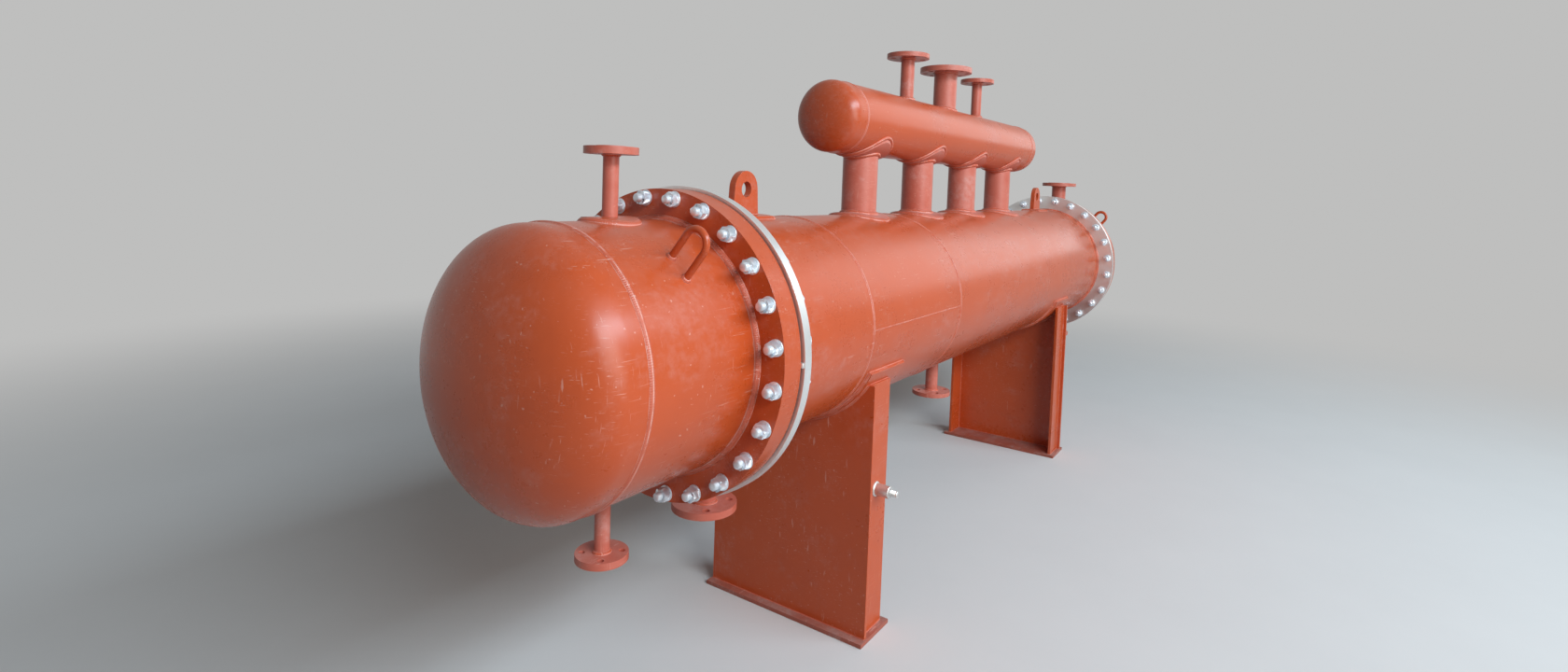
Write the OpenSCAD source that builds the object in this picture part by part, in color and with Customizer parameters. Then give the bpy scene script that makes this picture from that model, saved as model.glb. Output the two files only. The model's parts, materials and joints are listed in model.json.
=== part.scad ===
// Horizontal shell and tube heat exchanger on two saddles, with a pipe header above the shell.
// The shell lies along X with its front channel at -X, the floor is at Z = 0.

/* [Shell] */
// Outside diameter of the shell and of both channels
shell_od = 576; // [540:1:620]
// Wall thickness of the shell and of both channels
shell_wall = 10; // [8:0.5:14]
// Length of the shell between its two tube sheets
shell_length = 2989; // [2900:1:3400]
// Height of the shell axis above the floor
axis_height = 884; // [860:1:1000]
// Length of the shell course at the front tube sheet
front_course_length = 426; // [410:1:440]
// Length of the second shell course
middle_course_length = 609; // [590:1:640]

/* [Channels] */
// Length of each channel from its flange face to the weld of its head
channel_length = 305; // [290:1:400]
// Straight part of each domed head
head_skirt = 40; // [25:1:60]
// Wall thickness of the domed heads
head_wall = 10; // [8:0.5:14]
// Width of the channel flange outside the shell
flange_rim = 70; // [66:0.5:80]
// Thickness of the channel flange
flange_thickness = 60; // [40:1:80]
// Width of the tube sheet outside the shell
tube_sheet_rim = 77; // [70:0.5:90]
// Thickness of the tube sheet
tube_sheet_thickness = 25; // [20:1:50]
// Width of the gasket outside the shell
gasket_rim = 30; // [15:0.5:38]
// Thickness of the gasket
gasket_thickness = 5; // [2:0.5:8]

/* [Stud bolts] */
// Number of stud bolts in each channel joint
stud_count = 24; // [12:1:28]
// Diameter of a stud bolt
stud_diameter = 20; // [16:1:24]
// Distance of the stud circle from the outside of the shell
stud_offset = 50; // [48:0.5:56]
// Width of a nut across its flats
nut_flats = 30; // [28:1:36]
// Height of a nut
nut_height = 18; // [14:1:24]
// Diameter of a washer
washer_diameter = 37; // [36:0.5:40]
// Thickness of a washer
washer_thickness = 3; // [2:0.5:5]
// Thread that stands out of the nut on the channel side
stud_end_channel = 14; // [5:1:40]
// Thread that stands out of the nut on the shell side
stud_end_shell = 10; // [5:1:40]
// Clearance of a stud in its hole, all round
stud_clearance = 1; // [0.5:0.1:2]

/* [Nozzles] */
// Distance of a shell or channel nozzle's face from the outside of the shell
nozzle_projection = 157; // [120:1:200]
// Distance of the channel nozzles from the face of the channel flange
channel_nozzle_offset = 150; // [130:1:160]
// Distance of the front shell nozzle from the front tube sheet
shell_nozzle_offset = 97; // [90:1:140]
// Radius of the reinforcing pad of the front channel's top nozzle
vent_pad_radius = 60; // [50:1:80]
// Depth by which a neck reaches into its vessel, past the lowest edge of its hole
neck_inset = 4; // [2:0.5:10]
// Height of the raised face of a nozzle flange
raised_face = 2; // [1:0.5:3]
// Width of the plain rim between the raised face and the bolt holes
raised_face_margin = 3; // [1:0.5:5]

/* [Header] */
// Outside diameter of the header pipe
header_od = 219; // [200:1:260]
// Wall thickness of the header pipe and its caps
header_wall = 8; // [6:0.5:12]
// Length of the header pipe between its two caps
header_length = 1636; // [1560:1:1800]
// Straight part of each header cap
cap_skirt = 47; // [30:1:60]
// Clear height between the shell and the header
header_gap = 192; // [160:1:260]
// Distance of a header nozzle's face from the top of the header
header_nozzle_projection = 160; // [120:1:200]
// Distance of the outer header nozzles from the middle
header_nozzle_spacing = 343; // [300:1:400]

/* [Risers] */
// Number of risers between the shell and the header
riser_count = 4; // [2:1:4]
// Distance between neighbouring risers
riser_spacing = 441; // [400:1:460]
// Outside diameter of a riser
riser_od = 114; // [90:1:130]
// Wall thickness of a riser
riser_wall = 6; // [4:0.5:10]
// Radius of the reinforcing pads around a riser
riser_pad_radius = 96; // [80:1:100]
// Thickness of the reinforcing pads
pad_thickness = 8; // [6:0.5:12]

/* [Lifting lugs] */
// Distance of each lug from its tube sheet
lug_offset = 217; // [190:1:240]
// Thickness of a lug
lug_thickness = 20; // [12:1:30]
// Width of a lug at its foot
lug_width = 108; // [100:1:140]
// Radius of the rounded top of a lug
lug_radius = 48; // [40:1:50]
// Height of the hole above the shell
lug_hole_height = 73; // [65:1:100]
// Diameter of the hole in a lug
lug_hole = 40; // [30:1:50]
// Length of the pad under a lug
lug_pad_length = 150; // [140:1:180]
// Width of the pad under a lug
lug_pad_width = 90; // [60:1:120]

/* [Handles] */
// Diameter of the round bar of a channel handle
handle_bar = 15; // [10:1:18]
// Distance between the two legs of a handle
handle_width = 56; // [50:1:90]
// Height of a handle above the channel
handle_reach = 100; // [80:1:140]
// Angle of a handle from the top of the channel
handle_angle = 44; // [30:1:60]
// Tilt of a handle towards the top, from straight out
handle_lean = 5; // [0:1:10]

/* [Saddles] */
// Distance of the front saddle's web from its tube sheet
front_saddle_offset = 476; // [450:1:520]
// Distance of the rear saddle's web from its tube sheet
rear_saddle_offset = 514; // [450:1:540]
// Thickness of a saddle's web and ribs
saddle_plate = 12; // [8:1:20]
// Depth of a saddle's top under the outline of its seat, at the outer faces of the ribs
saddle_top_depth = 11.674; // [6:0.001:20]
// Distance of a web's upright edges from the sides of the shell, inwards
web_inset = 16; // [10:1:30]
// Width of a saddle's ribs, away from the web
rib_width = 108; // [80:1:120]
// Distance of the ribs from the web's upright edges
rib_inset = 14; // [8:1:40]
// Length of a base plate beyond each upright edge of the web
base_side = 4; // [2:1:80]
// Width of a base plate along the shell
base_width = 163; // [160:1:200]
// Thickness of a base plate
base_thickness = 12; // [8:1:20]
// Width of a base plate outside the web
base_outset = 26; // [15:1:40]
// Width of a wear pad along the shell
wear_pad_width = 204; // [180:1:220]
// Width of a wear pad outside the web
wear_pad_outset = 18; // [5:1:40]
// Thickness of a wear pad
wear_pad_thickness = 10; // [8:0.5:16]
// Angle of the shell that a wear pad wraps
wear_pad_angle = 130; // [124:1:140]

/* [Earthing boss] */
// Diameter of the earthing boss
boss_diameter = 34; // [20:1:40]
// Length of the earthing boss
boss_length = 45; // [20:1:60]
// Diameter of the bolt in the boss
boss_bolt_diameter = 18; // [8:1:20]
// Length of the bolt outside the boss
boss_bolt_length = 23; // [10:1:40]
// Height of the boss above the base plate
boss_height = 406; // [300:1:460]
// Distance of the boss from the web
boss_offset = 46; // [20:1:70]

/* [Hidden] */
$fn = 96;
// Gap left between curved faces that lie on each other
seat = 0.3;
// Overlap of a cut past the face that it opens
over = 5;
// Number of straight pieces in a quarter of a domed outline
DOME_STEPS = 24;

// Nozzle sizes, as neck diameter, neck wall, flange diameter, flange thickness, bolt circle, hole, holes
DN25 = [33.7, 3.4, 115, 18, 85, 14, 4];
DN32 = [42.4, 3.6, 140, 18, 100, 18, 4];
DN40 = [48.3, 3.7, 150, 18, 110, 18, 4];
DN50 = [60.3, 3.9, 165, 20, 125, 18, 4];
DN65 = [76.1, 5.2, 185, 20, 145, 18, 4];
DN80 = [88.9, 5.5, 200, 22, 160, 18, 8];
function neck_od(size) = size[0];
function neck_id(size) = size[0] - 2 * size[1];
function flange_od(size) = size[2];
function flange_height(size) = size[3];
function bolt_circle(size) = size[4];
function bolt_hole(size) = size[5];
function bolt_count(size) = size[6];

shell_r = shell_od / 2;
shell_id = shell_od - 2 * shell_wall;
header_r = header_od / 2;
header_z = axis_height + shell_r + header_gap + header_r;
header_inner_r = header_r - header_wall;

// Faces along the shell, from the middle to one end
sheet_x = shell_length / 2;
gasket_x = sheet_x + tube_sheet_thickness;
flange_x = gasket_x + gasket_thickness;
face_x = flange_x + flange_thickness;
weld_x = face_x + channel_length;
front_weld_x = -sheet_x + front_course_length;
middle_weld_x = front_weld_x + middle_course_length;

stud_circle_r = shell_r + stud_offset;
stud_hole = stud_diameter + 2 * stud_clearance;
channel_nozzle_x = face_x + channel_nozzle_offset;
shell_face_r = shell_r + nozzle_projection;
header_face_r = header_r + header_nozzle_projection;

lug_x = sheet_x - lug_offset;
function web_x(rear) = sheet_x - (rear ? rear_saddle_offset : front_saddle_offset);
pad_outer_r = shell_r + seat + wear_pad_thickness;
saddle_seat_r = pad_outer_r + seat;
web_width = shell_od - 2 * web_inset;
rib_face_y = web_width / 2 - rib_inset;
saddle_drop = sqrt(pow(saddle_seat_r, 2) - pow(rib_face_y, 2)) + saddle_top_depth;
base_length = web_width + 2 * base_side;
riser_xs = [for (i = [0 : riser_count - 1]) (i - (riser_count - 1) / 2) * riser_spacing];

// Nozzles as size, place along X, and 1 for up or -1 for down
front_channel_nozzles = [[DN25, -channel_nozzle_x, 1], [DN25, -channel_nozzle_x, -1]];
rear_channel_nozzles = [[DN65, channel_nozzle_x, 1], [DN65, channel_nozzle_x, -1]];
shell_nozzles = [[DN50, -sheet_x + shell_nozzle_offset, -1], [DN40, 0, -1]];
header_nozzles = [[DN40, -header_nozzle_spacing, 1], [DN80, 0, 1], [DN32, header_nozzle_spacing, 1]];

steel_red = [0.76, 0.36, 0.26];
bare_steel = [0.82, 0.82, 0.80];
zinc = [0.70, 0.73, 0.76];
gasket_grey = [0.18, 0.18, 0.18];

// Places its children on a horizontal axis, so that their Z runs along the shell
module lay_along(x, z) translate([x, 0, z]) rotate([0, 90, 0]) children();

// Round tube along the shell axis from x0 to x1
module shell_ring(x0, x1, outer, inner)
    lay_along(x0, axis_height)
    difference() {
        cylinder(d = outer, h = x1 - x0);
        translate([0, 0, -over]) cylinder(d = inner, h = x1 - x0 + 2 * over);
    }

// Turns a shape drawn at the rear end into the one at the front end
module at_end(rear) mirror([rear ? 0 : 1, 0, 0]) children();

// Outline of a domed end with half the depth of its radius, with a straight skirt
function dome_arc(r, depth, skirt) =
    [for (i = [0 : DOME_STEPS]) [r * cos(90 * i / DOME_STEPS), skirt + depth * sin(90 * i / DOME_STEPS)]];
function reversed(points) = [for (i = [len(points) - 1 : -1 : 0]) points[i]];

module domed_end(outer_r, wall, skirt)
    rotate_extrude()
    polygon(concat(
        [[outer_r, 0]],
        dome_arc(outer_r, outer_r / 2, skirt),
        reversed(dome_arc(outer_r - wall, outer_r / 2 - wall, skirt)),
        [[outer_r - wall, 0]]
    ));

// Neck of a nozzle, from inside its vessel to its face
module neck(size, vessel_inner_r, face_r) {
    inner_end = sqrt(pow(vessel_inner_r, 2) - pow(neck_od(size) / 2, 2)) - neck_inset;
    translate([0, 0, inner_end])
    difference() {
        cylinder(d = neck_od(size), h = face_r - inner_end);
        translate([0, 0, -over]) cylinder(d = neck_id(size), h = face_r - inner_end + 2 * over);
    }
}

// Flange of a nozzle with its raised face, slipped over the neck
module nozzle_flange(size, face_r)
    translate([0, 0, face_r - flange_height(size)])
    difference() {
        union() {
            cylinder(d = flange_od(size), h = flange_height(size) - raised_face);
            cylinder(d = bolt_circle(size) - bolt_hole(size) - 2 * raised_face_margin, h = flange_height(size));
        }
        translate([0, 0, -over]) cylinder(d = neck_od(size) + 2 * seat, h = flange_height(size) + 2 * over);
        for (i = [0 : bolt_count(size) - 1])
            rotate([0, 0, (i + 0.5) * 360 / bolt_count(size)])
            translate([bolt_circle(size) / 2, 0, -over])
            cylinder(d = bolt_hole(size), h = flange_height(size) + 2 * over);
    }

// Places its children at a nozzle of a vessel whose axis is at height z
module at_nozzle(nozzle, z)
    translate([nozzle[1], 0, z]) mirror([0, 0, nozzle[2] < 0 ? 1 : 0]) children();

module necks(nozzles, z, vessel_inner_r, face_r)
    for (nozzle = nozzles) at_nozzle(nozzle, z) neck(nozzle[0], vessel_inner_r, face_r);

module nozzle_flanges(nozzles, z, face_r)
    for (nozzle = nozzles) at_nozzle(nozzle, z) nozzle_flange(nozzle[0], face_r);

// Holes for the necks of some nozzles, from the axis of their vessel outwards
module neck_holes(nozzles, z, vessel_r)
    for (nozzle = nozzles)
        at_nozzle(nozzle, z) cylinder(d = neck_od(nozzle[0]) + 2 * seat, h = vessel_r + over);

// Plate that lies on a round vessel and is cut to the outline of its children, drawn along Z
module curved_pad(vessel_r, thickness, length)
    intersection() {
        rotate([0, 90, 0])
        difference() {
            cylinder(r = vessel_r + seat + thickness, h = length, center = true);
            cylinder(r = vessel_r + seat, h = length + 2 * over, center = true);
        }
        children();
    }

// Ring pad around a branch that stands on a round vessel
module branch_pad(vessel_r, pad_r, branch_od)
    difference() {
        curved_pad(vessel_r, pad_thickness, 2 * pad_r + 2 * over)
            cylinder(r = pad_r, h = vessel_r + 2 * pad_thickness);
        cylinder(d = branch_od + 2 * seat, h = vessel_r + 2 * pad_thickness);
    }

module riser_holes(z, h)
    for (x = riser_xs) translate([x, 0, z]) cylinder(d = riser_od + 2 * seat, h = h);

module shell_course(x0, x1)
    color(steel_red)
    difference() {
        shell_ring(x0, x1, shell_od, shell_id);
        neck_holes(shell_nozzles, axis_height, shell_r);
        riser_holes(axis_height, shell_r + over);
    }

module channel_barrel(rear, nozzles)
    color(steel_red)
    difference() {
        at_end(rear) shell_ring(face_x, weld_x, shell_od, shell_id);
        neck_holes(nozzles, axis_height, shell_r);
    }

module channel_head(rear)
    color(steel_red) at_end(rear) lay_along(weld_x, axis_height) domed_end(shell_r, head_wall, head_skirt);

// Places its children at each stud of a channel joint, with Z pointing away from the shell
module at_studs(x)
    lay_along(x, axis_height)
    for (i = [0 : stud_count - 1])
        rotate([0, 0, (i + 0.5) * 360 / stud_count]) translate([stud_circle_r, 0, 0]) children();

module bolted_ring(rear, x0, x1, rim, inner)
    at_end(rear)
    difference() {
        shell_ring(x0, x1, shell_od + 2 * rim, inner);
        at_studs(x0 - over) cylinder(d = stud_hole, h = x1 - x0 + 2 * over);
    }

module tube_sheet(rear)
    color(bare_steel) at_end(rear)
    difference() {
        lay_along(sheet_x, axis_height) cylinder(d = shell_od + 2 * tube_sheet_rim, h = tube_sheet_thickness);
        at_studs(sheet_x - over) cylinder(d = stud_hole, h = tube_sheet_thickness + 2 * over);
    }

module gasket(rear)
    color(gasket_grey) at_end(rear) shell_ring(gasket_x, flange_x, shell_od + 2 * gasket_rim, shell_id);

module channel_flange(rear)
    color(steel_red) bolted_ring(rear, flange_x, face_x, flange_rim, shell_id);

// Washer and nut stacked along Z
module washer_and_nut() {
    cylinder(d = washer_diameter, h = washer_thickness);
    translate([0, 0, washer_thickness]) cylinder(d = nut_flats / cos(30), h = nut_height, $fn = 6);
}

// Stud with a nut and a washer on both sides of the joint
module stud_bolts(rear) {
    joint_length = face_x - sheet_x;
    stack = washer_thickness + nut_height;
    color(zinc) at_end(rear)
    at_studs(sheet_x) {
        translate([0, 0, -stack - stud_end_shell])
            cylinder(d = stud_diameter, h = joint_length + 2 * stack + stud_end_shell + stud_end_channel);
        translate([0, 0, joint_length]) washer_and_nut();
        mirror([0, 0, 1]) washer_and_nut();
    }
}

module riser(index)
    if (index < riser_count) {
        reach = sqrt(pow(shell_id / 2, 2) - pow(riser_od / 2, 2)) - neck_inset;
        header_reach = sqrt(pow(header_inner_r, 2) - pow(riser_od / 2, 2)) - neck_inset;
        length = header_z - header_reach - axis_height - reach;
        color(steel_red)
        translate([riser_xs[index], 0, axis_height + reach])
        difference() {
            cylinder(d = riser_od, h = length);
            translate([0, 0, -over]) cylinder(d = riser_od - 2 * riser_wall, h = length + 2 * over);
        }
    }

module header_cap(rear)
    color(steel_red) at_end(rear)
    lay_along(header_length / 2, header_z) domed_end(header_r, header_wall, cap_skirt);

// Side outline of a lug, from inside the shell to its rounded top, with the hole's centre at the origin
module lug_outline() {
    foot = [lug_width / 2, -lug_hole_height - over];
    tangent = atan2(foot[1], foot[0]) + acos(lug_radius / norm(foot));
    side = [lug_radius * cos(tangent), lug_radius * sin(tangent)];
    circle(r = lug_radius);
    polygon([foot, side, [-side[0], side[1]], [-foot[0], foot[1]]]);
}

module lifting_lug(x)
    difference() {
        translate([x, lug_thickness / 2, axis_height + shell_r + lug_hole_height])
        rotate([90, 0, 0])
        linear_extrude(lug_thickness)
        difference() {
            lug_outline();
            circle(d = lug_hole);
        }
        lay_along(x - lug_width, axis_height) cylinder(r = shell_r + pad_thickness + 2 * seat, h = 2 * lug_width);
    }

module lifting_lug_pad(x)
    translate([x, 0, axis_height])
    curved_pad(shell_r, pad_thickness, lug_pad_length)
        translate([-lug_pad_length / 2, -lug_pad_width / 2, 0])
        cube([lug_pad_length, lug_pad_width, shell_r + 2 * pad_thickness]);

// Bar bent into a U, drawn in the YZ plane with Z away from the channel
module handle() {
    half = handle_width / 2;
    straight = handle_reach - handle_bar / 2 - half;
    difference() {
        translate([0, 0, shell_r])
        rotate([-handle_lean, 0, 0]) {
            for (side = [-1, 1])
                translate([0, side * half, -shell_r / 2]) cylinder(d = handle_bar, h = shell_r / 2 + straight);
            translate([0, 0, straight])
                rotate([90, 0, 90]) rotate_extrude(angle = 180) translate([half, 0]) circle(d = handle_bar);
        }
        rotate([0, 90, 0]) cylinder(r = shell_r + seat, h = 2 * handle_bar, center = true);
    }
}

// Places its children on a saddle's web, with X pointing to the nearer end of the shell
module at_saddle(rear) at_end(rear) translate([web_x(rear), 0, 0]) children();

// Space that the shell and its wear pad take above a saddle
module saddle_seat()
    lay_along(-base_width, axis_height) cylinder(r = saddle_seat_r, h = 2 * base_width);

module saddle_base(rear)
    color(steel_red) at_saddle(rear)
    translate([base_outset - base_width, -base_length / 2, 0])
    cube([base_width, base_length, base_thickness]);

module saddle_web(rear)
    color(steel_red) at_saddle(rear)
    difference() {
        translate([-saddle_plate, -web_width / 2, base_thickness])
            cube([saddle_plate, web_width, axis_height - saddle_drop - base_thickness]);
        saddle_seat();
    }

module saddle_ribs(rear)
    color(steel_red) at_saddle(rear)
    difference() {
        for (side = [0, 1])
            mirror([0, side, 0])
            translate([-saddle_plate - rib_width, rib_face_y - saddle_plate, base_thickness])
            cube([rib_width, saddle_plate, axis_height - saddle_drop - base_thickness]);
        saddle_seat();
    }

module wear_pad(rear) {
    reach = 2 * pad_outer_r / cos(wear_pad_angle / 2);
    color(steel_red) at_saddle(rear)
    translate([wear_pad_outset - wear_pad_width, 0, axis_height])
    rotate([90, 0, 90])
    difference() {
        intersection() {
            cylinder(r = pad_outer_r, h = wear_pad_width);
            linear_extrude(wear_pad_width)
                polygon([
                    [0, 0],
                    [-reach * sin(wear_pad_angle / 2), -reach * cos(wear_pad_angle / 2)],
                    [reach * sin(wear_pad_angle / 2), -reach * cos(wear_pad_angle / 2)]
                ]);
        }
        translate([0, 0, -over]) cylinder(r = shell_r + seat, h = wear_pad_width + 2 * over);
    }
}

module front_channel_head() channel_head(false);
module front_channel_barrel() channel_barrel(false, front_channel_nozzles);
module front_channel_flange() channel_flange(false);
module front_gasket() gasket(false);
module front_tube_sheet() tube_sheet(false);
module front_stud_bolts() stud_bolts(false);
module front_channel_necks()
    color(steel_red) necks(front_channel_nozzles, axis_height, shell_id / 2, shell_face_r);
module front_channel_nozzle_flanges()
    color(steel_red) nozzle_flanges(front_channel_nozzles, axis_height, shell_face_r);
module front_vent_pad()
    color(steel_red) at_nozzle(front_channel_nozzles[0], axis_height)
    branch_pad(shell_r, vent_pad_radius, neck_od(front_channel_nozzles[0][0]));
module shell_course_front() shell_course(-sheet_x, front_weld_x);
module shell_course_middle() shell_course(front_weld_x, middle_weld_x);
module shell_course_rear() shell_course(middle_weld_x, sheet_x);
module shell_nozzle_necks() color(steel_red) necks(shell_nozzles, axis_height, shell_id / 2, shell_face_r);
module shell_nozzle_flanges() color(steel_red) nozzle_flanges(shell_nozzles, axis_height, shell_face_r);
module lifting_lugs() color(steel_red) for (x = [-lug_x, lug_x]) lifting_lug(x);
module lifting_lug_pads() color(steel_red) for (x = [-lug_x, lug_x]) lifting_lug_pad(x);
module channel_handles()
    color(steel_red)
    for (x = [-channel_nozzle_x, channel_nozzle_x])
        translate([x, 0, axis_height]) rotate([handle_angle, 0, 0]) handle();
module rear_tube_sheet() tube_sheet(true);
module rear_gasket() gasket(true);
module rear_channel_flange() channel_flange(true);
module rear_channel_barrel() channel_barrel(true, rear_channel_nozzles);
module rear_channel_head() channel_head(true);
module rear_stud_bolts() stud_bolts(true);
module rear_channel_necks()
    color(steel_red) necks(rear_channel_nozzles, axis_height, shell_id / 2, shell_face_r);
module rear_channel_nozzle_flanges()
    color(steel_red) nozzle_flanges(rear_channel_nozzles, axis_height, shell_face_r);
module riser_1() riser(0);
module riser_2() riser(1);
module riser_3() riser(2);
module riser_4() riser(3);
module riser_shell_pads()
    color(steel_red) for (x = riser_xs) translate([x, 0, axis_height]) branch_pad(shell_r, riser_pad_radius, riser_od);
module riser_header_pads()
    color(steel_red)
    for (x = riser_xs)
        translate([x, 0, header_z]) mirror([0, 0, 1]) branch_pad(header_r, riser_pad_radius, riser_od);
module header_pipe()
    color(steel_red)
    difference() {
        lay_along(-header_length / 2, header_z)
        difference() {
            cylinder(d = header_od, h = header_length);
            translate([0, 0, -over]) cylinder(r = header_inner_r, h = header_length + 2 * over);
        }
        riser_holes(header_z - header_od, header_od);
        neck_holes(header_nozzles, header_z, header_r);
    }
module header_cap_front() header_cap(false);
module header_cap_rear() header_cap(true);
module header_nozzle_necks() color(steel_red) necks(header_nozzles, header_z, header_inner_r, header_face_r);
module header_nozzle_flanges() color(steel_red) nozzle_flanges(header_nozzles, header_z, header_face_r);
module front_saddle_base() saddle_base(false);
module front_saddle_web() saddle_web(false);
module front_saddle_ribs() saddle_ribs(false);
module front_wear_pad() wear_pad(false);
module earthing_boss()
    color(bare_steel) at_saddle(false)
    translate([-saddle_plate - boss_offset, -rib_face_y, base_thickness + boss_height])
    rotate([90, 0, 0]) {
        cylinder(d = boss_diameter, h = boss_length);
        cylinder(d = boss_bolt_diameter, h = boss_length + boss_bolt_length);
    }
module rear_saddle_base() saddle_base(true);
module rear_saddle_web() saddle_web(true);
module rear_saddle_ribs() saddle_ribs(true);
module rear_wear_pad() wear_pad(true);

front_channel_head();
front_channel_barrel();
front_channel_flange();
front_gasket();
front_tube_sheet();
front_stud_bolts();
front_channel_necks();
front_channel_nozzle_flanges();
front_vent_pad();
shell_course_front();
shell_course_middle();
shell_course_rear();
shell_nozzle_necks();
shell_nozzle_flanges();
lifting_lugs();
lifting_lug_pads();
channel_handles();
rear_tube_sheet();
rear_gasket();
rear_channel_flange();
rear_channel_barrel();
rear_channel_head();
rear_stud_bolts();
rear_channel_necks();
rear_channel_nozzle_flanges();
riser_1();
riser_2();
riser_3();
riser_4();
riser_shell_pads();
riser_header_pads();
header_pipe();
header_cap_front();
header_cap_rear();
header_nozzle_necks();
header_nozzle_flanges();
front_saddle_base();
front_saddle_web();
front_saddle_ribs();
front_wear_pad();
earthing_boss();
rear_saddle_base();
rear_saddle_web();
rear_saddle_ribs();
rear_wear_pad();
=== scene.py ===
"""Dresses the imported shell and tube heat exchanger, and sets its floor, lights and camera.

Lengths are in metres. The shell lies along X with its front channel at -X, its handles face -Y,
and the floor is at Z = 0. Sizes that the solids fix are read from the frame.
"""

from __future__ import annotations

import json
import logging
import math
from collections.abc import Callable, Iterator
from contextlib import contextmanager
from dataclasses import dataclass
from enum import Enum

import bmesh
import bpy
from mathutils import Matrix, Vector

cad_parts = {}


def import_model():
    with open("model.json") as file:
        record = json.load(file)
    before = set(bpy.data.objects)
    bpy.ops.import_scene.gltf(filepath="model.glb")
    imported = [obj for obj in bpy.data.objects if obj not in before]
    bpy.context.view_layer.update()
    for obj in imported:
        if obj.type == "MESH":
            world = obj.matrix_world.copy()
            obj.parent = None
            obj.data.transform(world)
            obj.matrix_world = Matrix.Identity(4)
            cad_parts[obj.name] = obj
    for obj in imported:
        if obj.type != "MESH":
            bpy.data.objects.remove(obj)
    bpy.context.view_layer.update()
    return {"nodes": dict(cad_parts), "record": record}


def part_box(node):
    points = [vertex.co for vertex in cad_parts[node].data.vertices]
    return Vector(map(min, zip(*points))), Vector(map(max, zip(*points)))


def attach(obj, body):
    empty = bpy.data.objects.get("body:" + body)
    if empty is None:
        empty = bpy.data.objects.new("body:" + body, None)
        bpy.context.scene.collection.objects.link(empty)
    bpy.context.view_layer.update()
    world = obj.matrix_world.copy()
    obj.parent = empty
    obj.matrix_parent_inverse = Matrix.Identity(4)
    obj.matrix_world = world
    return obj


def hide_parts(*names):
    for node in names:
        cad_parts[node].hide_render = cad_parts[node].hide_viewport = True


LOG = logging.getLogger("exchanger")
BODY = "root"
MM = 0.001
TURN = 2 * math.pi

Colour = tuple[float, float, float, float]
Object = bpy.types.Object
Socket = bpy.types.NodeSocket


class Slot(Enum):
    """The record's material slots."""

    RED = "red_primer"
    BARE = "bare_steel"
    ZINC = "zinc_plate"
    GASKET = "gasket"
    STAINLESS = "stainless"

    @property
    def finish(self) -> str:
        """The name of the slot's finish, apart from the plain material that the frame brings."""
        return f"{self.value}_finish"


class End(Enum):
    """The two ends of the shell, with the sign of their X."""

    FRONT = -1
    REAR = 1

    @property
    def label(self) -> str:
        """The end's name as the nodes spell it."""
        return self.name.lower()


# Modelling helpers


def make_active(obj: Object) -> None:
    """Selects one object alone and makes it the active one."""
    bpy.ops.object.select_all(action="DESELECT")
    obj.select_set(True)
    bpy.context.view_layer.objects.active = obj


@contextmanager
def editing(obj: Object) -> Iterator[None]:
    """Opens an object in edit mode with everything selected, and leaves the mode afterwards."""
    make_active(obj)
    bpy.ops.object.mode_set(mode="EDIT")
    bpy.ops.mesh.select_all(action="SELECT")
    yield
    bpy.ops.object.mode_set(mode="OBJECT")


def settle(obj: Object) -> Object:
    """Applies an object's place, turn and scale to its mesh and returns the object."""
    make_active(obj)
    bpy.ops.object.transform_apply(location=True, rotation=True, scale=True)
    return obj


def reshape(obj: Object, move: Callable[[Vector], Vector]) -> None:
    """Moves each vertex of an object's mesh to where a function puts it."""
    for vertex in obj.data.vertices:
        vertex.co = move(vertex.co)
    obj.data.update()


def copy_of(obj: Object, place: Matrix) -> Object:
    """Copies an object with a mesh of its own and moves the mesh to a new place."""
    new = obj.copy()
    new.data = obj.data.copy()
    new.data.transform(place)
    bpy.context.scene.collection.objects.link(new)
    return new


def join(objects: list[Object], name: str) -> Object:
    """Joins objects into one piece, which takes the first one's settings, and names it."""
    make_active(objects[0])
    for obj in objects:
        obj.select_set(True)
    bpy.ops.object.join()
    piece = bpy.context.object
    piece.name = piece.data.name = name
    return piece


def apply_modifier(obj: Object, kind: str, **settings: object) -> None:
    """Adds one modifier with its settings and applies it."""
    make_active(obj)
    modifier = obj.modifiers.new(kind.lower(), kind)
    for key, value in settings.items():
        setattr(modifier, key, value)
    bpy.ops.object.modifier_apply(modifier=modifier.name)


def smooth(obj: Object, degrees: float = 35.0) -> Object:
    """Shades an object smooth, apart from edges sharper than an angle."""
    make_active(obj)
    bpy.ops.object.shade_smooth_by_angle(angle=math.radians(degrees))
    return obj


def lathe(name: str, outline: list[tuple[float, float]], steps: int) -> Object:
    """Spins an outline, as points of place along X and radius, round the X axis."""
    mesh = bpy.data.meshes.new(name)
    points = [(x, 0.0, r) for x, r in outline]
    mesh.from_pydata(points, [(i, i + 1) for i in range(len(points) - 1)], [])
    obj = bpy.data.objects.new(name, mesh)
    bpy.context.scene.collection.objects.link(obj)
    with editing(obj):
        bpy.ops.mesh.spin(steps=steps, angle=TURN, center=(0, 0, 0), axis=(1, 0, 0), use_auto_merge=True)
    with editing(obj):
        bpy.ops.mesh.remove_doubles(threshold=1e-6)
        bpy.ops.mesh.normals_make_consistent(inside=False)
    return obj


def paint(obj: Object, finish: str) -> None:
    """Gives an object one finish in place of its materials."""
    obj.data.materials.clear()
    obj.data.materials.append(bpy.data.materials[finish])


def finish_piece(piece: Object, slot: Slot, *nodes: str, finish: str = "") -> Object:
    """Gives a piece its finish and its body, and hides the nodes that it replaces.

    Args:
        piece: the piece, settled at the origin.
        slot: its material slot.
        nodes: the nodes that it replaces.
        finish: the name of its finish, where that isn't the slot's own.
    """
    paint(piece, finish or slot.finish)
    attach(piece, BODY)
    if nodes:
        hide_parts(*nodes)
    LOG.info("%s: %d faces", piece.name, len(piece.data.polygons))
    return piece


# Finishes


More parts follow.
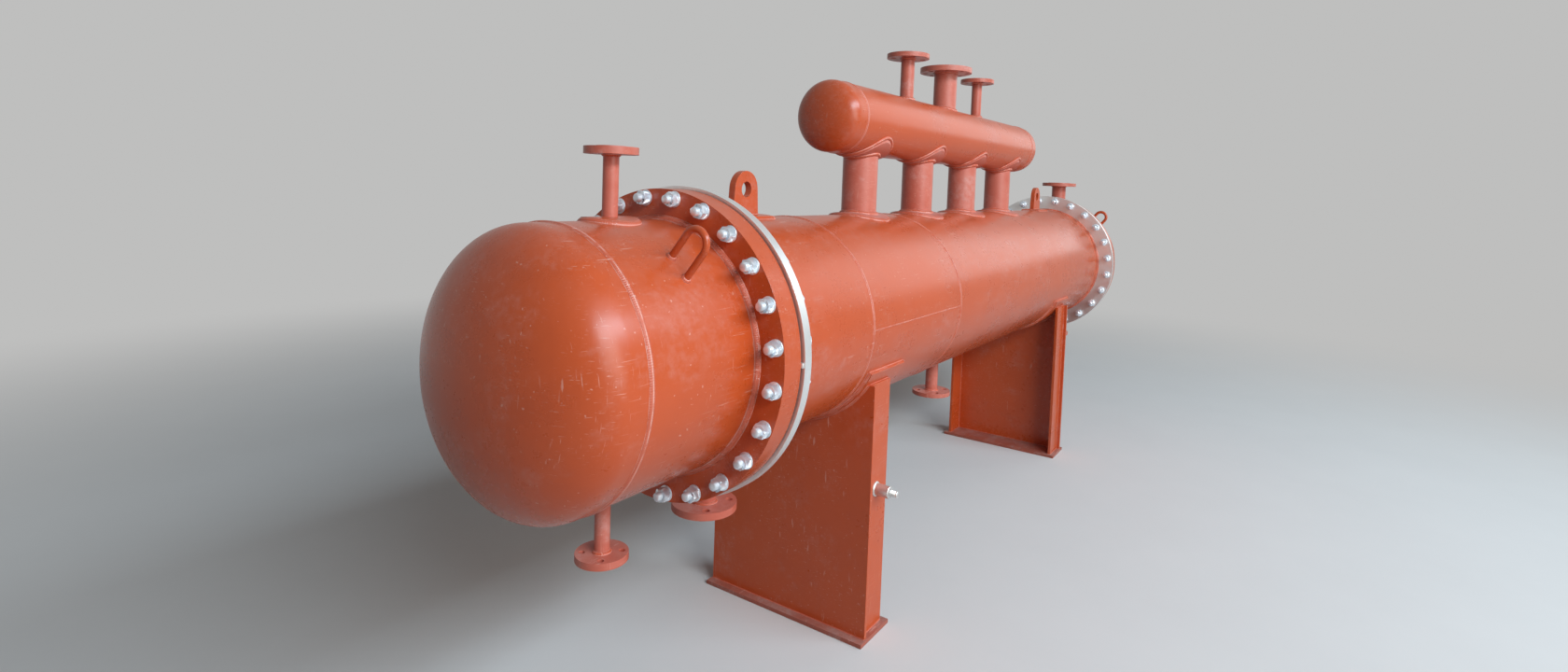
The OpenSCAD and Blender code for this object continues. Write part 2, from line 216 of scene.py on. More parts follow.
class Shader:
    """A material or node group that is built node by node."""

    def __init__(self, tree: bpy.types.NodeTree) -> None:
        """Starts from an empty tree."""
        self.tree = tree
        self.tree.nodes.clear()

    def node(self, kind: str, **settings: object) -> bpy.types.Node:
        """Adds a node; a setting named after a socket sets it, and any other is an attribute."""
        new = self.tree.nodes.new(kind)
        for key, value in settings.items():
            name = key.replace("_", " ").title()
            if name in new.inputs:
                self.feed(new.inputs[name], value)
            else:
                setattr(new, key, value)
        return new

    def feed(self, socket: Socket, value: object) -> None:
        """Links an output to a socket, or sets the socket's own value."""
        if isinstance(value, Socket):
            self.tree.links.new(value, socket)
        else:
            socket.default_value = value

    def math(self, operation: str, a: object, b: object = 0.5) -> Socket:
        """Adds a Math node and returns its result."""
        new = self.node("ShaderNodeMath", operation=operation)
        self.feed(new.inputs[0], a)
        self.feed(new.inputs[1], b)
        return new.outputs[0]

    def times(self, a: object, b: object) -> Socket:
        """Multiplies two values."""
        return self.math("MULTIPLY", a, b)

    def weighted(self, *parts: tuple[Socket, float]) -> Socket:
        """Adds up values, each times its weight."""
        total, *rest = (self.times(value, weight) for value, weight in parts)
        for value in rest:
            total = self.math("ADD", total, value)
        return total

    def between(self, share: Socket, low: float, high: float) -> Socket:
        """Maps 0..1 to low..high."""
        result = self.math("MULTIPLY_ADD", share, high - low)
        result.node.inputs[2].default_value = low
        return result

    def noise(self, vector: object, scale: object, detail: float = 2.0, rough: float = 0.5) -> Socket:
        """Adds a Noise Texture and returns its value."""
        new = self.node("ShaderNodeTexNoise", vector=vector, scale=scale, detail=detail, roughness=rough)
        return new.outputs["Fac"]

    def spread(self, value: object, low: float, high: float) -> Socket:
        """Maps a value from low..high to 0..1 with soft ends."""
        new = self.node("ShaderNodeMapRange", interpolation_type="SMOOTHSTEP", from_min=low, from_max=high)
        self.feed(new.inputs["Value"], value)
        return new.outputs["Result"]

    def mix(self, share: object, a: object, b: object) -> Socket:
        """Mixes two colours and returns the result."""
        new = self.node("ShaderNodeMix", data_type="RGBA")
        for place, value in zip((0, 6, 7), (share, a, b)):
            self.feed(new.inputs[place], value)
        return new.outputs[2]

    def scaled(self, vector: object, scale: tuple[float, float, float]) -> Socket:
        """Stretches a coordinate by a factor along each axis."""
        return self.node("ShaderNodeMapping", vector=vector, scale=scale).outputs["Vector"]

    def bump(self, height: Socket, depth: float) -> Socket:
        """Adds a Bump node with a depth in millimetres and returns its normal."""
        return self.node("ShaderNodeBump", distance=depth * MM, height=height).outputs["Normal"]

    def surface(self, **settings: object) -> Socket:
        """Adds a Principled surface and returns its shader."""
        return self.node("ShaderNodeBsdfPrincipled", **settings).outputs["BSDF"]


class MaterialBuilder(Shader):
    """A new material that is built node by node."""

    def __init__(self, name: str) -> None:
        """Makes the material and empties it."""
        self.material = bpy.data.materials.new(name)
        self.material.use_nodes = True
        super().__init__(self.material.node_tree)

    @property
    def place(self) -> Socket:
        """The object's own coordinates, from a new node."""
        return self.node("ShaderNodeTexCoord").outputs["Object"]

    def group(self, name: str, **settings: object) -> bpy.types.Node:
        """Adds a node group and sets its inputs."""
        return self.node("ShaderNodeGroup", node_tree=bpy.data.node_groups[name], **settings)

    def done(self, shader: Socket) -> bpy.types.Material:
        """Links a shader to the output and returns the material."""
        self.feed(self.node("ShaderNodeOutputMaterial").inputs["Surface"], shader)
        return self.material


class GroupBuilder(Shader):
    """A node group with named inputs and outputs, built once and used by several materials."""

    def __init__(self, name: str, inputs: dict[str, float], outputs: list[str]) -> None:
        """Makes the group, its inputs with their defaults and its outputs, which are all plain values."""
        super().__init__(bpy.data.node_groups.new(name, "ShaderNodeTree"))
        for key, default in inputs.items():
            socket = self.tree.interface.new_socket(key, in_out="INPUT", socket_type="NodeSocketFloat")
            socket.default_value = default
        for key in outputs:
            self.tree.interface.new_socket(key, in_out="OUTPUT", socket_type="NodeSocketFloat")
        self.source = self.node("NodeGroupInput").outputs
        self.place = self.node("ShaderNodeTexCoord").outputs["Object"]

    def give(self, **values: Socket) -> None:
        """Links values to the group's outputs of the same names."""
        result = self.node("NodeGroupOutput")
        for key, value in values.items():
            self.feed(result.inputs[key.title()], value)


class PaintGroup(GroupBuilder):
    """Sprayed primer: clouds and streaks of tone, orange peel, dust, specks, rubbed marks and scratches."""

    NAME = "sprayed_primer"

    def __init__(self) -> None:
        """Builds the group."""
        super().__init__(self.NAME, {"Mark Amount": 0.5}, ["Tone", "Dust", "Marks", "Height"])
        broad = self.noise(self.place, 2.3, 3.0, 0.55)
        fine = self.noise(self.place, 14.0, 4.0, 0.6)
        streaks = self.noise(self.scaled(self.place, (4.0, 38.0, 38.0)), 1.0, 4.0, 0.6)
        grain = self.noise(self.place, 70.0, 3.0, 0.7)
        tone = self.weighted((broad, 0.5), (fine, 0.25), (streaks, 0.15), (grain, 0.1))
        peel = self.noise(self.place, 260.0, 1.0)
        waves = self.noise(self.place, 26.0, 2.0)
        self.give(
            tone=self.spread(tone, 0.36, 0.62),
            dust=self.dust(),
            marks=self.times(self.marks(), self.source["Mark Amount"]),
            height=self.weighted((peel, 0.55), (waves, 0.9)),
        )

    def dust(self) -> Socket:
        """The mask of the dust on what faces up, and of a few pale smudges."""
        normal = self.node("ShaderNodeNewGeometry").outputs["Normal"]
        split = self.node("ShaderNodeSeparateXYZ", vector=normal)
        upward = self.spread(split.outputs["Z"], 0.2, 1.0)
        drifts = self.spread(self.noise(self.place, 9.0, 5.0, 0.65), 0.34, 0.72)
        mottle = self.spread(self.noise(self.place, 48.0, 4.0, 0.7), 0.34, 0.68)
        settled = self.times(upward, drifts)
        settled = self.times(settled, self.math("ADD", self.times(mottle, 0.8), 0.35))
        rubbed = self.noise(self.scaled(self.place, (3.0, 6.0, 7.0)), 1.0, 6.0, 0.72)
        smudges = self.times(self.spread(rubbed, 0.50, 0.64), mottle)
        return self.math("MAXIMUM", settled, smudges)

    def marks(self) -> Socket:
        """The mask of thin scratches, short rubbed streaks and small specks, in patches."""
        along = self.noise(self.scaled(self.place, (14.0, 70.0, 520.0)), 1.0, 3.0)
        across = self.noise(self.scaled(self.place, (420.0, 90.0, 16.0)), 1.0, 3.0)
        thin = self.math("MAXIMUM", self.spread(along, 0.64, 0.71), self.spread(across, 0.66, 0.73))
        patches = self.spread(self.noise(self.place, 5.0, 3.0), 0.44, 0.58)
        specks = self.spread(self.noise(self.place, 120.0, 1.0), 0.73, 0.79)
        return self.math("MAXIMUM", self.times(thin, patches), specks)


class MetalGroup(GroupBuilder):
    """Bare or plated metal: cloudy tone, fine turned lines and small specks."""

    NAME = "worked_metal"

    def __init__(self) -> None:
        """Builds the group."""
        inputs = {"Grain Scale": 900.0, "Cloud Scale": 12.0}
        super().__init__(self.NAME, inputs, ["Tone", "Specks", "Height"])
        clouds = self.noise(self.place, self.source["Cloud Scale"], 4.0)
        lines = self.noise(self.scaled(self.place, (1.0, 0.06, 0.06)), self.source["Grain Scale"])
        specks = self.noise(self.place, 220.0, 3.0)
        self.give(tone=self.spread(clouds, 0.3, 0.7), specks=self.spread(specks, 0.62, 0.72), height=lines)


@dataclass(frozen=True)
class RedPrimer:
    """Red oxide primer, sprayed on and half glossy.

    The ripple is the pitch of a weld's runs, and 0 leaves out the weld's ripples and its painted highlights
    along the toe lines and crest.
    """

    name: str = Slot.RED.finish
    body: Colour = (0.575, 0.084, 0.018, 1)
    thin: Colour = (0.530, 0.074, 0.015, 1)
    dusty: Colour = (0.610, 0.230, 0.175, 1)
    scuff_and_highlight: Colour = (0.80, 0.46, 0.37, 1)
    roughness: tuple[float, float] = (0.24, 0.32)
    dust: float = 0.30
    marks: float = 0.42
    bump: float = 0.10
    ripple: float = 0.0
    # how strongly the painted highlights along a weld's toe lines and crest show
    toe_highlights: float = 0.62

    def build(self) -> bpy.types.Material:
        """Builds the material and returns it."""
        shader = MaterialBuilder(self.name)
        coat = shader.group(PaintGroup.NAME, mark_amount=self.marks).outputs
        tone, dust, height = coat["Tone"], coat["Dust"], coat["Height"]
        colour = shader.mix(tone, self.thin, self.body)
        colour = shader.mix(shader.times(dust, self.dust), colour, self.dusty)
        colour = shader.mix(coat["Marks"], colour, self.scuff_and_highlight)
        rough = shader.between(tone, *self.roughness)
        rough = shader.math("ADD", rough, shader.times(dust, 0.02))
        if self.ripple:
            toe_highlights, ripples = self.highlights_and_ripples(shader)
            # painted highlight: the weld's toe lines and crest take the pale scuff colour where light would
            # catch them
            colour = shader.mix(shader.times(toe_highlights, self.toe_highlights), colour, self.scuff_and_highlight)
            height = shader.math("ADD", height, ripples)
        normal = shader.bump(height, self.bump)
        return shader.done(shader.surface(base_color=colour, roughness=rough, normal=normal))

    def highlights_and_ripples(self, shader: MaterialBuilder) -> tuple[Socket, Socket]:
        """The mask of the painted highlights along a weld's toe lines and crest, and the height of its
        ripples.

        The UV map of the bead holds the run in metres and the place round it.
        """
        run = shader.node("ShaderNodeUVMap", uv_map="run").outputs["UV"]
        split = shader.node("ShaderNodeSeparateXYZ", vector=run)
        turn = shader.times(split.outputs["Y"], TURN)
        # painted highlight mask: pale lines where the bead's section turns through its toe lines and crest,
        # broken up by noise
        fold = shader.math("ABSOLUTE", shader.math("COSINE", shader.times(turn, 2.0)))
        broken = shader.spread(shader.noise(shader.place, 38.0, 3.0), 0.34, 0.54)
        toe_highlights = shader.times(shader.spread(fold, 0.84, 1.0), broken)
        bend = shader.times(fold, 0.9)
        turns = shader.math("ADD", shader.times(split.outputs["X"], TURN / self.ripple), bend)
        return toe_highlights, shader.times(shader.math("SINE", turns), 1.6)


@dataclass(frozen=True)
class Metal:
    """A metal that isn't painted: machined, zinc plated or stainless."""

    name: str
    light: Colour
    dark: Colour
    roughness: tuple[float, float]
    metallic: float = 1.0
    grain: float = 900.0
    clouds: float = 12.0
    bump: float = 0.03

    def build(self) -> bpy.types.Material:
        """Builds the material and returns it."""
        shader = MaterialBuilder(self.name)
        metal = shader.group(MetalGroup.NAME, grain_scale=self.grain, cloud_scale=self.clouds).outputs
        colour = shader.mix(metal["Tone"], self.dark, self.light)
        colour = shader.mix(shader.times(metal["Specks"], 0.25), colour, self.dark)
        light_rough, dark_rough = self.roughness
        rough = shader.between(metal["Tone"], dark_rough, light_rough)
        normal = shader.bump(metal["Height"], self.bump)
        surface = shader.surface(base_color=colour, metallic=self.metallic, roughness=rough, normal=normal)
        return shader.done(surface)


@dataclass(frozen=True)
class Fibre:
    """The dark pressed fibre of the gaskets."""

    name: str = Slot.GASKET.finish
    colour: Colour = (0.022, 0.021, 0.020, 1)
    pale: Colour = (0.060, 0.055, 0.050, 1)

    def build(self) -> bpy.types.Material:
        """Builds the material and returns it."""
        shader = MaterialBuilder(self.name)
        fibres = shader.noise(shader.scaled(shader.place, (1.0, 0.3, 0.3)), 700.0, 3.0)
        colour = shader.mix(fibres, self.colour, self.pale)
        return shader.done(shader.surface(base_color=colour, roughness=0.85, normal=shader.bump(fibres, 0.1)))


WELD_PAINT_WITH_HIGHLIGHTS = "red_primer_on_weld"
DRY_PAINT_WITH_SHEEN = "red_primer_dry_with_painted_sheen"
GRIMY_PAINT = "red_primer_grimy"
FINISHES = (
    RedPrimer(),
    # Paint on the welds: its body and thin colours are lighter than the primer's, partly a painted highlight
    # that offsets the shade in the small beads
    RedPrimer(
        name=WELD_PAINT_WITH_HIGHLIGHTS,
        body=(0.620, 0.125, 0.062, 1),
        thin=(0.560, 0.095, 0.040, 1),
        scuff_and_highlight=(0.86, 0.50, 0.42, 1),
        roughness=(0.30, 0.42),
        marks=0.9,
        bump=0.12,
        ripple=0.0045,
    ),
    # Dry overspray for the necks, risers and nozzle flanges: its paler, pinker colours and heavier dust are
    # partly the overspray's own colour and partly a painted sheen
    RedPrimer(
        name=DRY_PAINT_WITH_SHEEN,
        body=(0.620, 0.175, 0.120, 1),
        thin=(0.540, 0.110, 0.065, 1),
        dusty=(0.680, 0.360, 0.310, 1),
        roughness=(0.32, 0.44),
        dust=0.5,
        marks=0.4,
    ),
    RedPrimer(
        name=GRIMY_PAINT,
        body=(0.420, 0.110, 0.070, 1),
        thin=(0.340, 0.075, 0.042, 1),
        dusty=(0.460, 0.290, 0.250, 1),
        roughness=(0.42, 0.56),
        dust=0.85,
    ),
    Metal(
        Slot.BARE.finish,
        light=(0.90, 0.90, 0.88, 1),
        dark=(0.78, 0.77, 0.75, 1),
        roughness=(0.30, 0.46),
        metallic=0.85,
        grain=500.0,
    ),
    Metal(
        Slot.ZINC.finish,
        light=(0.90, 0.93, 0.96, 1),
        dark=(0.66, 0.70, 0.75, 1),
        roughness=(0.30, 0.48),
        metallic=0.65,
        clouds=60.0,
    ),
    Metal(
        Slot.STAINLESS.finish,
        light=(0.82, 0.80, 0.77, 1),
        dark=(0.62, 0.59, 0.56, 1),
        roughness=(0.30, 0.46),
        metallic=0.8,
        clouds=40.0,
    ),
    Fibre(),
)


# Sizes that the solids fix


@dataclass(frozen=True)
class Layout:
    """Where the main pieces are, read from the frame."""

    axis_z: float
    shell_r: float
    sheet_inner: float
    flange_face: float
    flange_r: float
    head_weld: float
    header_z: float
    header_r: float
    header_end: float
    risers: tuple[float, ...]
    riser_r: float

    @classmethod
    def from_frame(cls) -> Layout:
        """Reads the rear half's boxes, which the front half mirrors."""
        shell_lo, shell_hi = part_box("shell_course_rear")
        flange_lo, flange_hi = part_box("rear_channel_flange")
        header_lo, header_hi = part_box("header_pipe")
        riser_boxes = [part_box(f"riser_{i}") for i in range(1, 5)]
        return cls(
            axis_z=(shell_lo.z + shell_hi.z) / 2,
            shell_r=(shell_hi.z - shell_lo.z) / 2,
            sheet_inner=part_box("rear_tube_sheet")[0].x,
            flange_face=flange_hi.x,
            flange_r=(flange_hi.z - flange_lo.z) / 2,
            head_weld=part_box("rear_channel_barrel")[1].x,
            header_z=(header_lo.z + header_hi.z) / 2,
            header_r=(header_hi.z - header_lo.z) / 2,
            header_end=header_hi.x,
            risers=tuple((lo.x + hi.x) / 2 for lo, hi in riser_boxes),
            riser_r=(riser_boxes[0][1].x - riser_boxes[0][0].x) / 2,
        )


# Welds


@dataclass
class Bead:
    """One weld bead with its leg lengths, round a ring, on a round vessel or along a line.

    The shape runs from 1, a flat fillet, to 2, a round bead. The waves are weight, length and phase.
    """

    WAVES = ((1.0, 0.031, 0.0), (0.7, 0.0137, 1.3), (0.5, 0.0721, 0.4))

    along: float
    out: float
    shape: float = 2.0
    waviness: float = 0.06
    sides: int = 8
    pitch: float = 0.009

    def section(self, angle: float, run: float) -> tuple[float, float]:
        """The bead's outline at an angle round it, a little uneven along its run."""
        c, s = math.cos(angle), math.sin(angle)
        reach = (abs(c) ** self.shape + abs(s) ** self.shape) ** (-1 / self.shape)
        uneven = 0.0
        for weight, length, phase in self.WAVES:
            uneven += weight * math.sin(run / length + phase)
        reach *= 1 + self.waviness * uneven / 2
        return self.along * c * reach, self.out * s * reach

    def ring(self, radius: float) -> Object:
        """Models the bead round the Z axis, with its run in metres in its UV map."""
        steps = max(24, round(TURN * radius / self.pitch))
        bpy.ops.mesh.primitive_torus_add(
            major_radius=radius, minor_radius=self.out, major_segments=steps, minor_segments=self.sides
        )
        obj = bpy.context.object

        def shape(co: Vector) -> Vector:
            turn = math.atan2(co.y, co.x)
            flat = math.hypot(co.x, co.y)
            axial, radial = self.section(math.atan2(flat - radius, co.z), abs(turn) * radius)
            return Vector(((radius + radial) * math.cos(turn), (radius + radial) * math.sin(turn), axial))

        def place(co: Vector) -> tuple[float, float]:
            turn = math.atan2(math.hypot(co.x, co.y) - radius, co.z)
            return math.atan2(co.y, co.x) * radius, turn / TURN

        self.map_run(obj, place, (TURN * radius, 1.0))
        reshape(obj, shape)
        return obj

    def line(self, start: Vector, end: Vector, roll: float = 0.0) -> Object:
        """Models the bead from one point to another with rounded ends, its section turned by the roll."""
        length = (end - start).length
        bpy.ops.mesh.primitive_cylinder_add(vertices=self.sides, radius=self.out, depth=length)
        obj = bpy.context.object
        cuts = max(2, round(length / self.pitch))
        bpy.ops.object.mode_set(mode="EDIT")
        edit = bmesh.from_edit_mesh(obj.data)
        for edge in edit.edges:
            edge.select = abs(edge.verts[0].co.z - edge.verts[1].co.z) > length / 2
        edit.select_flush_mode()
        bmesh.update_edit_mesh(obj.data)
        bpy.ops.mesh.subdivide(number_cuts=cuts)
        bpy.ops.object.mode_set(mode="OBJECT")
        taper = min(self.out * 1.5, length / 4)

        def shape(co: Vector) -> Vector:
            side, up = self.section(math.atan2(co.y, co.x), co.z)
            left = (length / 2 - abs(co.z)) / taper
            share = math.sqrt(max(0.12, min(1.0, left)))
            return Vector((side * share, up * share, co.z))

        self.map_run(obj, lambda co: (co.z, math.atan2(co.y, co.x) / TURN), (0.0, 1.0))
        reshape(obj, shape)
        direction = (end - start).normalized()
        turn = direction.to_track_quat("Z", "Y").to_matrix().to_4x4()
        obj.data.transform(Matrix.Translation((start + end) / 2) @ turn @ Matrix.Rotation(roll, 4, "Z"))
        return obj

    def along_x(self, start: float, end: float, y: float, z: float, roll: float = 0.0) -> Object:
        """Models the bead along X between two places."""
        return self.line(Vector((start, y, z)), Vector((end, y, z)), roll)

    def map_run(self, obj: Object, place: Callable[[Vector], tuple[float, float]], wraps: tuple) -> None:
        """Writes the distance along the bead and the place round it to a UV map.

        Args:
            obj: the bead.
            place: gives a point's distance along the bead and its share of the turn round it.
            wraps: after how much each of the two starts again, or 0.
        """
        for layer in list(obj.data.uv_layers):
            obj.data.uv_layers.remove(layer)
        uv = obj.data.uv_layers.new(name="run")
        for face in obj.data.polygons:
            spots = [place(obj.data.vertices[obj.data.loops[i].vertex_index].co) for i in face.loop_indices]
            for axis, wrap in enumerate(wraps):
                values = [spot[axis] for spot in spots]
                around = bool(wrap) and max(values) - min(values) > wrap / 2
                for i, value in zip(face.loop_indices, values):
                    uv.data[i].uv[axis] = value + wrap if around and value < 0 else value

    def girth(self, x: float, z: float, radius: float) -> Object:
        """The bead round a horizontal pipe or vessel, at a place along X."""
        obj = self.ring(radius)
        obj.data.transform(Matrix.Translation((x, 0, z)) @ Matrix.Rotation(math.pi / 2, 4, "Y"))
        return obj

    def round_neck(self, x: float, z: float, radius: float) -> Object:
        """The bead round an upright neck, at a height."""
        obj = self.ring(radius)
        obj.data.transform(Matrix.Translation((x, 0, z)))
        return obj

    def saddle(self, x: float, z: float, radius: float, vessel_r: float, side: int) -> Object:
        """The bead where an upright branch meets a horizontal vessel.

        Args:
            x: the branch's place along X.
            z: the height of the vessel's axis.
            radius: the branch's radius.
            vessel_r: the vessel's radius.
            side: 1 on top of the vessel and -1 under it.
        """
        obj = self.ring(radius)

        def lay(co: Vector) -> Vector:
            turn = math.atan2(co.y, co.x)
            rise = math.sqrt(vessel_r**2 - (radius * math.sin(turn)) ** 2)
            return Vector((x + co.x, co.y, z + side * (rise + co.z)))

        reshape(obj, lay)
        if side < 0:
            obj.data.flip_normals()
        return obj


def cut(obj: Object, point: tuple, normal: tuple) -> Object:
    """Cuts away what an object has beyond a point, in the direction of the normal, and closes the cut."""
    with editing(obj):
        bpy.ops.mesh.bisect(plane_co=point, plane_no=normal, use_fill=True, clear_outer=True)
    return obj


# The diameter of each nozzle's neck and the height of its flange, in millimetres
NECKS = {
    "front_channel_top": (33.7, 18),
    "front_channel_bottom": (33.7, 18),
    "rear_channel_top": (76.1, 20),
    "rear_channel_bottom": (76.1, 20),
    "shell_bottom_front": (60.3, 20),
    "shell_bottom_middle": (48.3, 18),
    "header_front": (48.3, 18),
    "header_middle": (88.9, 22),
    "header_rear": (42.4, 18),
}
HANDLE_ANGLE = math.radians(44)
HANDLE_HALF_WIDTH = 0.028
HANDLE_BAR_R = 0.0075
LUG_WIDTH = 0.108
SHOULDER_ROLL = 0.4


@dataclass
class Welds:
    """The weld beads of the whole vessel, joined by the piece that they belong to."""

    layout: Layout
    mounts: dict[str, dict]
    head_girth: Bead
    shell_girth: Bead
    flange_fillet: Bead
    branch_fillet: Bead
    small_fillet: Bead
    plate_fillet: Bead
    web_fillet: Bead
    handle_fillet: Bead

    def build(self) -> None:
        """Models every bead and joins them into painted pieces."""
        groups = [("shell", self.shell())]
        groups += [(f"{end.label}_channel", self.channel(end)) for end in End]
        groups += [("header", self.header())]
        groups += [(f"{end.label}_saddle", self.saddle(end)) for end in End]
        groups += [("lug", self.lugs())]
        for group, beads in groups:
            piece = join(list(beads), f"{group}_welds")
            finish_piece(smooth(piece, 80.0), Slot.RED, finish=WELD_PAINT_WITH_HIGHLIGHTS)

    def necks(self, group: str) -> Iterator[Object]:
        """The beads at the foot and behind the flange of each nozzle of a group."""
        at = self.layout
        z, vessel_r = (at.header_z, at.header_r) if group == "header" else (at.axis_z, at.shell_r)
        for name, (diameter, height) in NECKS.items():
            if name.startswith(group):
                mount = self.mounts[f"{name}_bore"]
                x, _, face_z = mount["pos_m"]
                side, neck_r = round(mount["axis"][2]), diameter / 2 * MM
                yield self.branch_fillet.saddle(x, z, neck_r, vessel_r, side)
                yield self.small_fillet.round_neck(x, face_z - side * height * MM, neck_r)

    def shell(self) -> Iterator[Object]:
        """The girth welds, the tube sheet fillets, the long seam and the shell nozzles."""
        at = self.layout
        for node in ("shell_course_front", "shell_course_middle"):
            yield self.shell_girth.girth(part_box(node)[1].x, at.axis_z, at.shell_r)
        for end in End:
            yield self.branch_fillet.girth(end.value * at.sheet_inner, at.axis_z, at.shell_r)
        middle_lo, middle_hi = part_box("shell_course_middle")
        seam = Bead(self.shell_girth.out, self.shell_girth.along)
        yield seam.along_x(middle_lo.x, middle_hi.x, -at.shell_r, at.axis_z)
        yield from self.necks("shell")

    def channel(self, end: End) -> Iterator[Object]:
        """The head weld, the flange fillet, the handle's feet, the nozzles and the vent pad of a channel."""
        at = self.layout
        yield self.head_girth.girth(end.value * at.head_weld, at.axis_z, at.shell_r)
        yield self.flange_fillet.girth(end.value * at.flange_face, at.axis_z, at.shell_r)
        yield from self.handle_feet(end)
        yield from self.necks(end.label)
        if end is End.FRONT:
            pad_lo, pad_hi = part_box("front_vent_pad")
            pad_x, pad_r = (pad_lo.x + pad_hi.x) / 2, (pad_hi.x - pad_lo.x) / 2
            yield self.plate_fillet.saddle(pad_x, at.axis_z, pad_r, at.shell_r, 1)

    def handle_feet(self, end: End) -> Iterator[Object]:
        """The beads round the two feet of a channel's handle."""
        at = self.layout
        lo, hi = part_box("channel_handles")
        x = (lo.x if end is End.FRONT else hi.x) - end.value * HANDLE_BAR_R
        for side in (-1, 1):
            turn = HANDLE_ANGLE - side * math.asin(HANDLE_HALF_WIDTH / at.shell_r)
            foot = self.handle_fillet.ring(HANDLE_BAR_R)
            up = Matrix.Rotation(turn, 4, "X") @ Matrix.Translation((0, 0, at.shell_r))
            foot.data.transform(Matrix.Translation((x, 0, at.axis_z)) @ up)
            yield foot

    def header(self) -> Iterator[Object]:
        """The cap welds, both ends of each riser with its pads, and the header nozzles."""
        at = self.layout
        for end in End:
            yield self.shell_girth.girth(end.value * at.header_end, at.header_z, at.header_r)
        pads_lo, pads_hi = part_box("riser_shell_pads")
        pad_r, pad_height = (pads_hi.y - pads_lo.y) / 2, pads_hi.z - at.axis_z - at.shell_r
        for x in at.risers:
            for z, vessel_r, side in ((at.axis_z, at.shell_r, 1), (at.header_z, at.header_r, -1)):
                yield self.plate_fillet.saddle(x, z, pad_r, vessel_r, side)
                yield self.branch_fillet.saddle(x, z, at.riser_r, vessel_r + pad_height, side)
        yield from self.necks("header")

    def saddle(self, end: End) -> Iterator[Object]:
        """The fillets round a wear pad, and between base, web, ribs and pad."""
        yield from self.wear_pad(end)
        yield from self.web(end)
        yield from self.ribs(end)

    def wear_pad(self, end: End) -> Iterator[Object]:
        """The beads round a wear pad's four edges."""
        at = self.layout
        lo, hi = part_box(f"{end.label}_wear_pad")
        drop = at.axis_z - hi.z
        reach, roll = math.sqrt(at.shell_r**2 - drop**2), math.asin(drop / at.shell_r)
        for x in (lo.x, hi.x):
            yield cut(self.plate_fillet.girth(x, at.axis_z, at.shell_r), (0, 0, hi.z), (0, 0, 1))
        for side in (-1, 1):
            yield self.plate_fillet.along_x(lo.x, hi.x, side * reach, hi.z, side * roll)

    def web(self, end: End) -> Iterator[Object]:
        """The beads along both faces of a web, under the pad and on the base plate."""
        at = self.layout
        lo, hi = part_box(f"{end.label}_saddle_web")
        pad_r = at.axis_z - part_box(f"{end.label}_wear_pad")[0].z
        for x in (lo.x, hi.x):
            yield cut(self.web_fillet.girth(x, at.axis_z, pad_r), (0, 0, hi.z), (0, 0, 1))
            yield self.web_fillet.line(Vector((x, lo.y, lo.z)), Vector((x, hi.y, lo.z)))

    def ribs(self, end: End) -> Iterator[Object]:
        """The beads of both ribs: up the web, along the base plate and under the wear pad."""
        at = self.layout
        web_lo, web_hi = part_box(f"{end.label}_saddle_web")
        lo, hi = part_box(f"{end.label}_saddle_ribs")
        inner, outer = (web_hi.x, hi.x) if end is End.FRONT else (web_lo.x, lo.x)
        pad_r = at.axis_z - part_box(f"{end.label}_wear_pad")[0].z
        shoulder = math.sqrt(pad_r**2 - (at.axis_z - hi.z) ** 2)
        plate = web_hi.x - web_lo.x
        for side in (-1, 1):
            for y, top in ((hi.y, hi.z), (hi.y - plate, hi.z - plate)):
                yield self.web_fillet.line(Vector((inner, side * y, lo.z)), Vector((inner, side * y, top)))
                yield self.web_fillet.along_x(inner, outer, side * y, lo.z)
            roll = side * SHOULDER_ROLL
            yield self.web_fillet.along_x(inner, outer, side * shoulder, hi.z, roll)
            foot = (Vector((outer, side * y, lo.z)) for y in (hi.y - plate, hi.y))
            yield self.web_fillet.line(*foot)

    def lugs(self) -> Iterator[Object]:
        """The fillets at the feet of the lugs and round their pads."""
        at = self.layout
        lo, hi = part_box("lifting_lugs")
        pads_lo, pads_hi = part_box("lifting_lug_pads")
        reach = pads_hi.y
        roll, edge_z = math.asin(reach / at.shell_r), at.axis_z + math.sqrt(at.shell_r**2 - reach * reach)
        for end in End:
            outer, pad_outer = (lo.x, pads_lo.x) if end is End.FRONT else (hi.x, pads_hi.x)
            inner = outer - end.value * LUG_WIDTH
            pad_inner = inner + outer - pad_outer
            for y in (lo.y, hi.y):
                yield self.web_fillet.along_x(outer, inner, y, pads_hi.z)
            for side in (-1, 1):
                yield self.plate_fillet.along_x(pad_outer, pad_inner, side * reach, edge_z, -side * roll)
            for x in (pad_outer, pad_inner):
                arc = self.plate_fillet.girth(x, at.axis_z, at.shell_r)
                arc = cut(arc, (0, 0, at.axis_z), (0, 0, -1))
                yield cut(cut(arc, (0, reach, 0), (0, 1, 0)), (0, -reach, 0), (0, -1, 0))


# Small metal pieces


